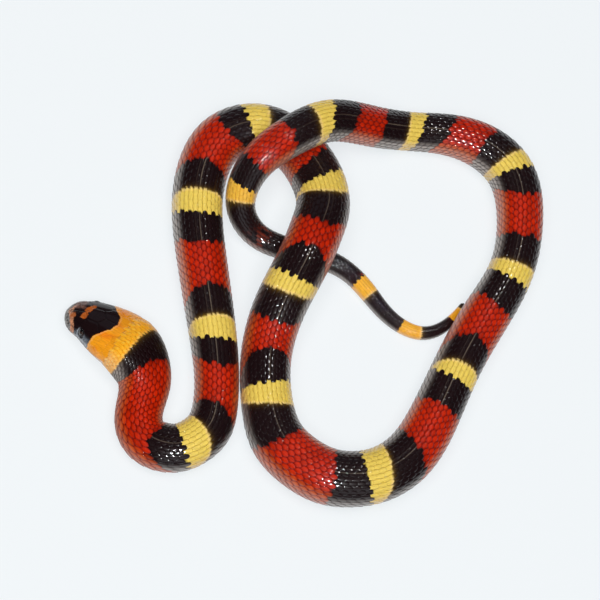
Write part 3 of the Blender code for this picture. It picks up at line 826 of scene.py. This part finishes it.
def build_belly(look, rng):
    """Wide belly plates, one to each row of scales, each lapping over the next."""
    along_steps = np.array([-0.25, 0.25, 0.7, 0.95, 1.08])
    across_steps = np.linspace(-1.0, 1.0, 21)
    a = np.repeat(along_steps[:, None], len(across_steps), axis=1)
    b = np.repeat(across_steps[None, :], len(along_steps), axis=0)
    lift = -0.20 * (1.0 - a) - 0.02 - 0.25 * np.abs(b) ** 6
    a_all, b_all, lift_all, faces = closed_plate(a, b, lift, 1.0, BELLY_THICK)
    first = math.ceil(np.interp(BELLY_FROM, BED_AT, ROW_COUNT))
    count = np.arange(first, math.floor(ROW_COUNT[-1]) - 1).astype(float)
    n = len(count)
    flat = np.ones((n, len(a_all)))
    where = row_distance(count[:, None] + a_all[None, :])
    around = 0.5 + b_all[None, :] * (0.5 - BELLY_SHARE + 0.02) * flat
    laid = lay(surface(where, np.where(around > 0.5, around - 1.0, around), lift_all[None, :] * flat))
    middle = row_distance(count + 0.4)[:, None] * flat
    chance = rng.random((n, 1, 4)) * flat[:, :, None]
    ringed = markings(where, middle, 0.0 * where, 0.0 * where, 0.0 * where, chance)
    colour = mixed(PALE, ringed, 0.45 * flat)
    corners, *rest = plate_faces(faces, len(a_all), n)
    thing = mesh_piece("belly_plates", laid.reshape(-1, 3), corners, *rest)
    bake = bake_patches(row_distance(count), 0.49 + 0.0 * count, a_all, b_all)
    lie = np.stack([where * MM, (30.0 + b_all[None, :] * 9.0) * MM * flat], axis=-1)
    dress(thing, look, colour, bake[corners], lie.reshape(-1, 2)[corners])
    return thing


def sheet_of(stations, columns):
    """Distances and shares of a tube's grid points."""
    shares = np.linspace(-0.5, 0.5, columns + 1)[:-1]
    return np.meshgrid(stations, shares, indexing="ij")


def build_skin(look, rng):
    """The one skin under everything, from the snout to the tail tip.

    It is the chart itself: fine over the head, where it carries the shields, the mouth and the
    pits of the eyes, then coarser and drawn in by the depth of the scales. One row of many-sided
    faces joins the fine and coarse tubes.
    """
    fine = STATIONS[STATIONS < FINE_END]
    coarse = np.r_[np.arange(FINE_END + 0.5, LENGTH - TIP_ROUND, 1.6), STATIONS[-9:-1]]
    where, share = sheet_of(fine, HEAD_COLUMNS)
    height = on_chart(PLACES, where, share)[..., 2]
    seam, shade = head_shields(where, share, rng)
    covered = between(SCALES_FROM, np.abs(share))
    sunk = smooth_step(covered - 1.2, covered + 0.8, where)
    lift = head_relief(where, height, seam) * (1.0 - sunk) - SKIN_DEPTH * sunk
    under_mouth = smooth_step(0.1, -0.5, height - mouth_height(where))
    places = surface(where, share, lift)
    places[..., 0] += JAW_SETBACK * under_mouth * smooth_step(13.0, 4.0, where)
    colour = head_colours(where, share, height, shade, np.exp(-(seam / 0.2) ** 2), rng.random((37, 41)))

    far_where, far_share = sheet_of(coarse, BODY_COLUMNS)
    small = outline_at(far_where) / BODY_OUTLINE
    far_places = surface(far_where, far_share, -SKIN_DEPTH * np.minimum(1.0, 0.3 + 0.7 * small))
    rim = 0.9 * np.ones_like(far_where)
    chance = 0.5 * np.ones(far_where.shape + (4,))
    far_colour = markings(far_where, far_where, far_share, rim, rim, chance) * 0.75

    first = len(fine) * HEAD_COLUMNS
    per_face = HEAD_COLUMNS // BODY_COLUMNS
    head_quads, head_turn = closed_grid(len(fine), HEAD_COLUMNS, 0)
    body_quads, body_turn = closed_grid(len(coarse), BODY_COLUMNS, first)
    j = np.arange(BODY_COLUMNS)[:, None]
    near = j * per_face + np.arange(per_face + 1)[None, :]
    near = near[:, ::-1]
    joint = np.hstack([first - HEAD_COLUMNS + near % HEAD_COLUMNS, first + j, first + (j + 1) % BODY_COLUMNS])
    joint_turn = np.hstack([near / HEAD_COLUMNS, j / BODY_COLUMNS, (j + 1) / BODY_COLUMNS])
    snout = np.arange(HEAD_COLUMNS)
    tail = np.arange(BODY_COLUMNS)[::-1]
    last = first + (len(coarse) - 1) * BODY_COLUMNS
    corners = np.r_[head_quads.ravel(), body_quads.ravel(), joint.ravel(), snout, last + tail]
    quads = len(head_quads) + len(body_quads)
    sizes = np.r_[np.full(quads, 4), np.full(BODY_COLUMNS, per_face + 3), HEAD_COLUMNS, BODY_COLUMNS]
    starts = np.r_[0, np.cumsum(sizes)[:-1]]
    laid = np.vstack([lay(places).reshape(-1, 3), lay(far_places).reshape(-1, 3)])
    thing = mesh_piece("skin", laid, corners, starts)
    distance = np.r_[where.ravel(), far_where.ravel()]
    turn = np.r_[
        head_turn.ravel(), body_turn.ravel(), joint_turn.ravel(), snout / HEAD_COLUMNS, tail / BODY_COLUMNS,
    ]
    unwrap = np.column_stack([distance[corners] / LENGTH, turn]) * 0.98 + 0.01
    lie = np.column_stack([distance[corners], (turn - 0.5) * outline_at(distance[corners])]) * MM
    dress(thing, look, np.vstack([colour.reshape(-1, 3), far_colour.reshape(-1, 3)]), unwrap, lie)
    return thing


def side_of_head(where, height):
    """Half width of the straight head's surface at a distance and a height."""
    shares = np.linspace(0.02, 0.30, 200)
    places = on_chart(PLACES, np.full(200, where), shares)
    return float(np.interp(height, places[::-1, 2], np.abs(places[::-1, 1])))


def build_eye(name, sign, look):
    """A ball in its socket, its poles on the axis that looks out sideways.

    Colours run by the angle from that axis: pupil, iris, then the dark rim.
    """
    columns, rows = 48, 33
    out = np.linspace(0.0, math.pi, rows)[1:-1]
    turn = np.linspace(0.0, 2.0 * math.pi, columns, endpoint=False)
    tilt, turns = np.meshgrid(out, turn, indexing="ij")
    around = np.sin(tilt)
    ball = np.stack([around * np.cos(turns), sign * np.cos(tilt), around * np.sin(turns)], axis=-1)
    poles = np.array([[0.0, sign, 0.0], [0.0, -sign, 0.0]])
    across = side_of_head(EYE_FROM_SNOUT, EYE_HEIGHT) - EYE_INSET
    middle = np.array([EYE_FROM_SNOUT, sign * across, EYE_HEIGHT])
    points = np.vstack([ball.reshape(-1, 3), poles]) * EYE_RADIUS + middle
    quads, _ = closed_grid(rows - 2, columns, 0)
    j = np.arange(columns)
    after = (j + 1) % columns
    outer = len(points) - 2
    front = np.column_stack([np.full(columns, outer), j, after])
    last = (rows - 3) * columns
    back = np.column_stack([np.full(columns, outer + 1), last + after, last + j])
    if sign > 0.0:
        quads, front, back = quads[:, ::-1], front[:, ::-1], back[:, ::-1]
    corners = np.r_[quads.ravel(), front.ravel(), back.ravel()]
    starts = np.r_[np.arange(len(quads)) * 4, len(quads) * 4 + np.arange(2 * columns) * 3]
    thing = mesh_piece(name, lay(points), corners, starts)
    angle = np.r_[tilt.ravel(), 0.0, math.pi]
    colour = mixed(PUPIL, IRIS, smooth_step(0.34, 0.40, angle))
    colour = mixed(colour, PUPIL, smooth_step(0.72, 0.86, angle))
    turned = np.r_[turns.ravel(), 0.0, 0.0]
    dress(thing, look, colour, (np.column_stack([turned / 6.4, angle / 3.2]) * 0.9 + 0.05)[corners])
    return thing


def fill(tree, node, values):
    """Give a node's sockets values, or link them to other sockets."""
    for name, value in values.items():
        if isinstance(value, bpy.types.NodeSocket):
            tree.links.new(value, node.inputs[name])
        else:
            node.inputs[name].default_value = value


def add_math(tree, operation, first, second):
    """A Math node on two values, each a socket or a number."""
    node = tree.nodes.new("ShaderNodeMath")
    node.operation = operation
    fill(tree, node, {0: first, 1: second})
    return node.outputs["Value"]


def add_mix(tree, blend, factor, first, second):
    """A Mix node on two colours, each a socket or a value."""
    node = tree.nodes.new("ShaderNodeMix")
    node.data_type = "RGBA"
    node.blend_type = blend
    fill(tree, node, {"Factor": factor, "A": first, "B": second})
    return node.outputs["Result"]


def add_range(tree, value, low, high, to_low, to_high):
    """A Map Range node from low..high to to_low..to_high."""
    node = tree.nodes.new("ShaderNodeMapRange")
    fill(tree, node, {"Value": value, "From Min": low, "From Max": high, "To Min": to_low, "To Max": to_high})
    return node.outputs["Result"]


def add_noise(tree, vector, stretch, detail):
    """Noise on a map, stretched by a number for each direction."""
    mapping = tree.nodes.new("ShaderNodeMapping")
    fill(tree, mapping, {"Vector": vector, "Scale": stretch})
    noise = tree.nodes.new("ShaderNodeTexNoise")
    fill(tree, noise, {"Vector": mapping.outputs["Vector"], "Scale": 1.0, "Detail": detail})
    return noise.outputs["Fac"]


def add_offset(tree, value, middle):
    """How far a value is from a middle, either way."""
    return add_math(tree, "ABSOLUTE", add_math(tree, "SUBTRACT", value, middle), 0.0)


def start_material(name):
    """A new material, its nodes, its shader and the colour of each point."""
    material = bpy.data.materials.new(name)
    material.use_nodes = True
    tree = material.node_tree
    tint = tree.nodes.new("ShaderNodeAttribute")
    tint.attribute_name = "tint"
    return material, tree, tree.nodes["Principled BSDF"], tint.outputs["Color"]


def scale_material(name):
    """Glossy scales: each point's tint, streaked lengthwise.

    The black rings behind the head carry thin pale lines along the back, a painted highlight,
    strong in some places and faint in others. The nape has less gloss.
    """
    material, tree, shader, tint = start_material(name)
    lie = tree.nodes.new("ShaderNodeUVMap")
    lie.uv_map = "lie"
    lie = lie.outputs["UV"]
    split = tree.nodes.new("ShaderNodeSeparateXYZ")
    tree.links.new(lie, split.inputs["Vector"])
    along, across = split.outputs["X"], split.outputs["Y"]
    streaks = add_range(tree, add_noise(tree, lie, (380.0, 3600.0, 1.0), 2.0), 0.3, 0.7, 0.84, 1.14)
    shade = add_mix(tree, "MULTIPLY", 1.0, tint, streaks)

    parts = tree.nodes.new("ShaderNodeSeparateColor")
    tree.links.new(tint, parts.inputs["Color"])
    # Painted highlight: two thin pale lines along the back, patchy, only where the tint is dark, from behind
    # the head to near the tail.
    main_glint = add_range(tree, add_offset(tree, across, 0.0004), 0.00013, 0.00026, 1.0, 0.0)
    second_glint = add_range(tree, add_offset(tree, across, 0.0020), 0.00008, 0.00016, 0.25, 0.0)
    glint_amount = add_math(tree, "ADD", main_glint, second_glint)
    for limit in (
        add_range(tree, add_noise(tree, lie, (60.0, 60.0, 1.0), 1.0), 0.35, 0.6, 0.3, 1.0),
        add_range(tree, parts.outputs["Red"], 0.02, 0.10, 1.0, 0.0),
        add_range(tree, along, 0.045, 0.065, 0.0, 1.0),
        add_range(tree, along, 0.60, 0.64, 1.0, 0.0),
    ):
        glint_amount = add_math(tree, "MULTIPLY", glint_amount, limit)

    grain = add_noise(tree, lie, (2500.0, 6000.0, 1.0), 2.0)
    bump = tree.nodes.new("ShaderNodeBump")
    fill(tree, bump, {"Height": grain, "Strength": 0.25, "Distance": 0.00003})
    fill(tree, shader, {
        "Base Color": add_mix(tree, "ADD", glint_amount, shade, (*RIDGE_GLINT, 1.0)),
        "Roughness": add_range(tree, grain, 0.3, 0.7, 0.26, 0.38),
        "Normal": bump.outputs["Normal"],
        "Coat Weight": add_range(tree, add_offset(tree, along, 0.046), 0.012, 0.026, 0.03, 0.8),
        "Coat Roughness": 0.065, "IOR": 1.45, "Specular IOR Level": 0.12,
    })
    return material


def eye_material(name):
    """Wet dark eye under its clear scale: the tint of each point below a smooth coat."""
    material, tree, shader, tint = start_material(name)
    place = tree.nodes.new("ShaderNodeTexCoord")
    fleck = add_noise(tree, place.outputs["Object"], (2600.0, 2600.0, 2600.0), 3.0)
    shade = add_mix(tree, "MULTIPLY", 1.0, tint, add_range(tree, fleck, 0.3, 0.7, 0.6, 1.4))
    fill(tree, shader, {"Base Color": shade, "Roughness": 0.12, "Coat Weight": 1.0, "Coat Roughness": 0.03})
    return material


def build_floor():
    """Plain pale floor, most of it glowing so that shadows stay faint as in the photograph."""
    mesh = bpy.data.meshes.new("floor")
    reach = 6.0
    corners = [(-reach, -reach, 0), (reach, -reach, 0), (reach, reach, 0), (-reach, reach, 0)]
    mesh.from_pydata(corners, [], [(0, 1, 2, 3)])
    floor = add_object("floor", mesh)
    material = bpy.data.materials.new("floor_paper")
    material.use_nodes = True
    fill(material.node_tree, material.node_tree.nodes["Principled BSDF"], {
        "Base Color": (0.22, 0.22, 0.215, 1.0), "Roughness": 0.9, "Specular IOR Level": 0.0,
        "Emission Color": (*FLOOR_TONE, 1.0), "Emission Strength": 0.735,
    })
    floor.data.materials.append(material)


def area_light(name, direction, away, wide, high, power, colour=(1.0, 1.0, 1.0)):
    """A soft light in a direction from the animal, facing it."""
    data = bpy.data.lights.new(name, "AREA")
    data.shape = "RECTANGLE"
    data.size = wide
    data.size_y = high
    data.energy = power
    data.color = colour
    lamp = add_object(name, data)
    toward = Vector(direction).normalized()
    lamp.location = toward * away
    lamp.rotation_mode = "QUATERNION"
    lamp.rotation_quaternion = toward.to_track_quat("Z", "Y")
    return lamp


def build_camera():
    """The camera at the photograph's angle, looking down from the lower left."""
    direction = np.asarray(VIEW_DIRECTION) / np.linalg.norm(VIEW_DIRECTION)
    target = np.array([-MIDDLE_X * MM, -MIDDLE_Y * MM, 0.0])
    right = np.cross(direction, (0.0, 1.0, 0.0))
    right /= np.linalg.norm(right)
    up = np.cross(right, direction)
    data = bpy.data.cameras.new("camera")
    data.sensor_width = SENSOR
    data.lens = SENSOR * CAMERA_DISTANCE / FRAME_WIDE
    camera = add_object("camera", data)
    turn = Matrix([[right[i], up[i], -direction[i]] for i in range(3)])
    camera.rotation_mode = "QUATERNION"
    camera.rotation_quaternion = turn.to_quaternion()
    camera.location = Vector(target - CAMERA_DISTANCE * direction)
    bpy.context.scene.camera = camera


def build_light():
    """Plain studio light.

    A dim room, a broad light that isn't mirrored, a pale panel on the near side and a dim one on
    the far side for the sheen, and two small lights that are seen only as sparkles.
    """
    world = bpy.data.worlds.new("studio")
    bpy.context.scene.world = world
    world.use_nodes = True
    room = {"Color": (0.85, 0.92, 1.0, 1.0), "Strength": 0.035}
    fill(world.node_tree, world.node_tree.nodes["Background"], room)
    broad = area_light("broad", (-0.10, -0.15, 1.0), 1.6, 1.4, 1.4, 32.0)
    broad.visible_glossy = False
    area_light("near_panel", (0.1, -1.0, 0.62), 2.6, 2.6, 1.3, 7.0, (0.93, 0.96, 1.0))
    area_light("far_panel", (0.15, 1.0, 0.55), 2.6, 2.6, 1.0, 1.2, (0.75, 0.85, 1.0))
    for spark in (
        area_light("spark_near", (-0.03, -0.40, 0.91), 1.2, 0.05, 0.05, 7.0),
        area_light("spark_far", (0.18, 0.30, 0.93), 1.2, 0.05, 0.05, 1.3),
    ):
        spark.visible_diffuse = False
    bpy.context.scene.view_settings.view_transform = "Standard"


def main():
    """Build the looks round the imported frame."""
    rng = np.random.default_rng(RANDOM_SEED)
    build_camera()
    build_light()
    build_floor()
    scaled = scale_material("milk_snake_scales")
    skin = build_skin(scaled, rng)
    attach(skin, "root")
    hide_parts(*[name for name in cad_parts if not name.startswith("eye_")])
    wet = eye_material("wet_eye")
    for name, sign in (("left", -1.0), ("right", 1.0)):
        eye = build_eye("eyeball_" + name, sign, wet)
        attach(eye, "root")
        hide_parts("eye_" + name)
    for thing in build_scales(scaled, rng) + [build_belly(scaled, rng)]:
        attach(thing, "root")


main()
